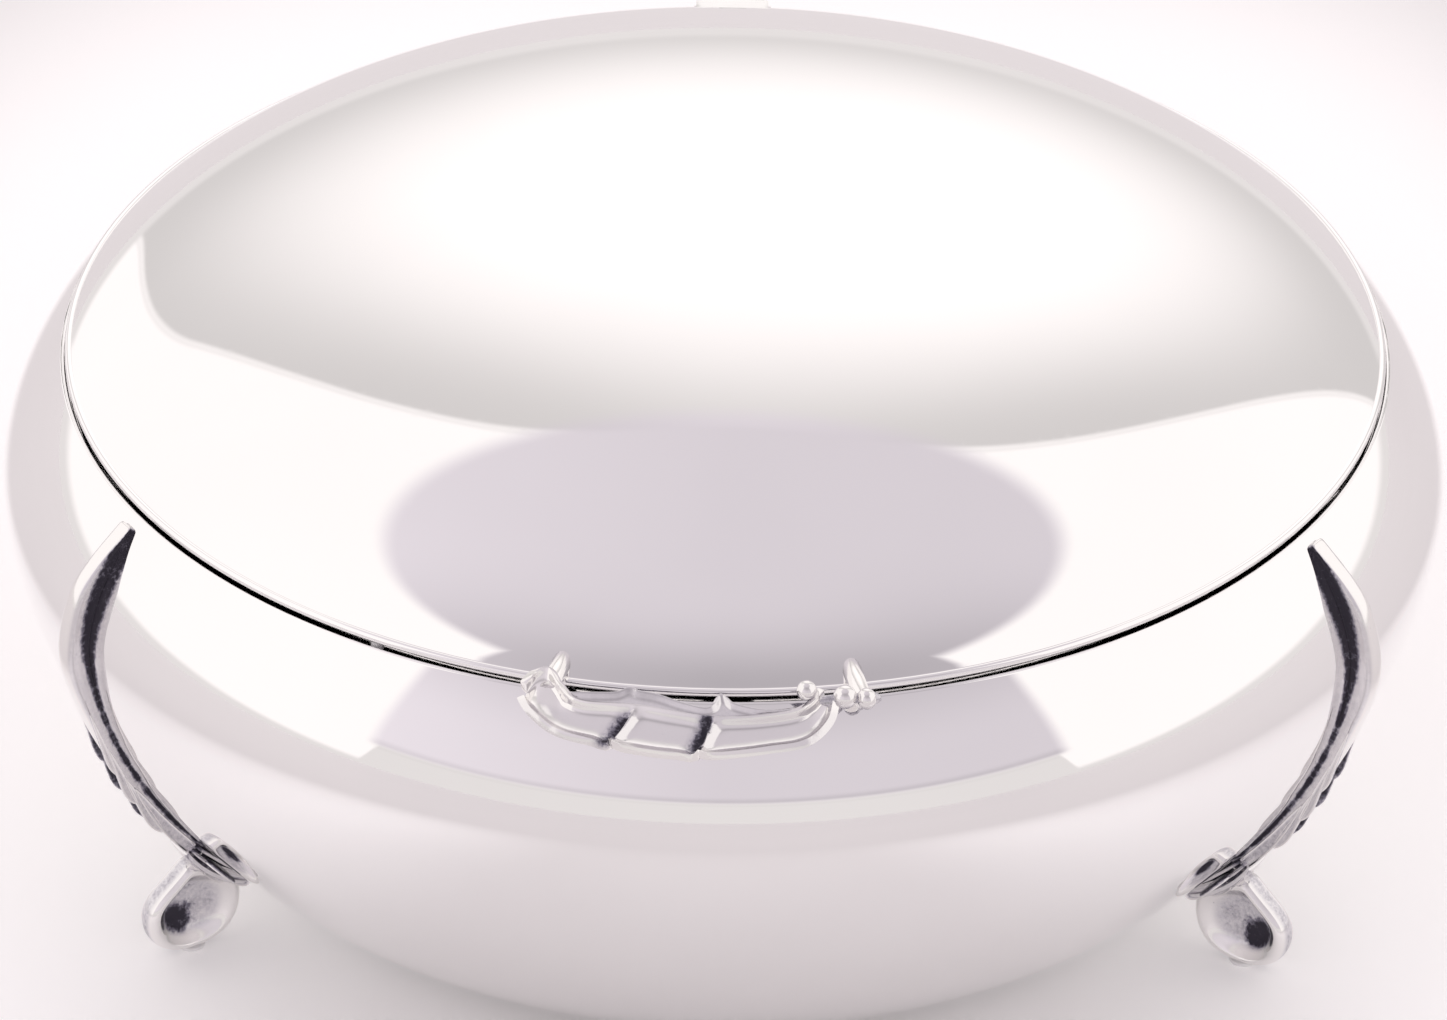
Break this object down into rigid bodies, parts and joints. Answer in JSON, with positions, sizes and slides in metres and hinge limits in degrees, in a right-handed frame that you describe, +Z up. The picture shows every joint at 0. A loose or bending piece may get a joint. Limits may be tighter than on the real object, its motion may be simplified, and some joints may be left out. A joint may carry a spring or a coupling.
{
  "type": "roll top chafer",
  "caption": "Round chafing dish: polished bowl on cast scroll legs, hinged domed lid with leaf handle, water and food pans, gel burner with damper.",
  "frame": {"origin": "on the table, under the centre of the bowl", "axes": "+Z up; the front, with the lid's handle, faces -Y; +X to the right as seen from the front"},
  "size_m": [0.4999, 0.5215, 0.2436],
  "materials": {
    "mirror_steel": "mirror polished stainless steel",
    "cast_silver": "cast metal, polished ridges over dark aged hollows",
    "pan_steel": "satin stainless steel",
    "hinge_steel": "polished steel",
    "fastener_steel": "plain steel",
    "brass_cup": "heat-tinted brass",
    "silicone": "pale matt silicone"
  },
  "bodies": {
    "bowl": {"outer_shell": "mirror_steel", "ledge_ring": "mirror_steel", "rim_bumpers": "silicone", "base_plate": "pan_steel", "base_screws": "fastener_steel", "leg_left": "cast_silver", "leg_right": "cast_silver", "leg_rear": "cast_silver", "leg_screws": "fastener_steel", "leg_nuts": "fastener_steel", "foot_pad_left": "silicone", "foot_pad_right": "silicone", "foot_pad_rear": "silicone", "water_pan": "pan_steel", "fuel_holder": "pan_steel", "fuel_cup": "brass_cup", "damper_post": "fastener_steel", "damper_cap": "fastener_steel", "hinge_bracket": "hinge_steel", "bracket_screws": "fastener_steel", "hinge_pin": "fastener_steel"},
    "lid": {"hinge_leaf": "hinge_steel", "leaf_screws": "fastener_steel", "lid_shell": "mirror_steel", "lid_bead": "mirror_steel", "lid_handle": "cast_silver", "handle_posts": "cast_silver", "handle_screws": "fastener_steel"},
    "pan": {"food_pan": "pan_steel"},
    "damper": {"damper_disc": "pan_steel"}
  },
  "joints": [
    {"name": "lid_hinge", "type": "hinge", "parent": "bowl", "child": "lid", "pos_m": [0, 0.239, 0.177], "axis": [-1, 0, 0], "range_deg": [0, 100]},
    {"name": "pan_lift", "type": "slide", "parent": "bowl", "child": "pan", "axis": [0, 0, 1], "range_m": [0, 0.008]},
    {"name": "damper_swing", "type": "hinge", "parent": "bowl", "child": "damper", "pos_m": [0.057, 0, 0.0635], "axis": [0, 0, 1], "range_deg": [0, 110]}
  ]
}
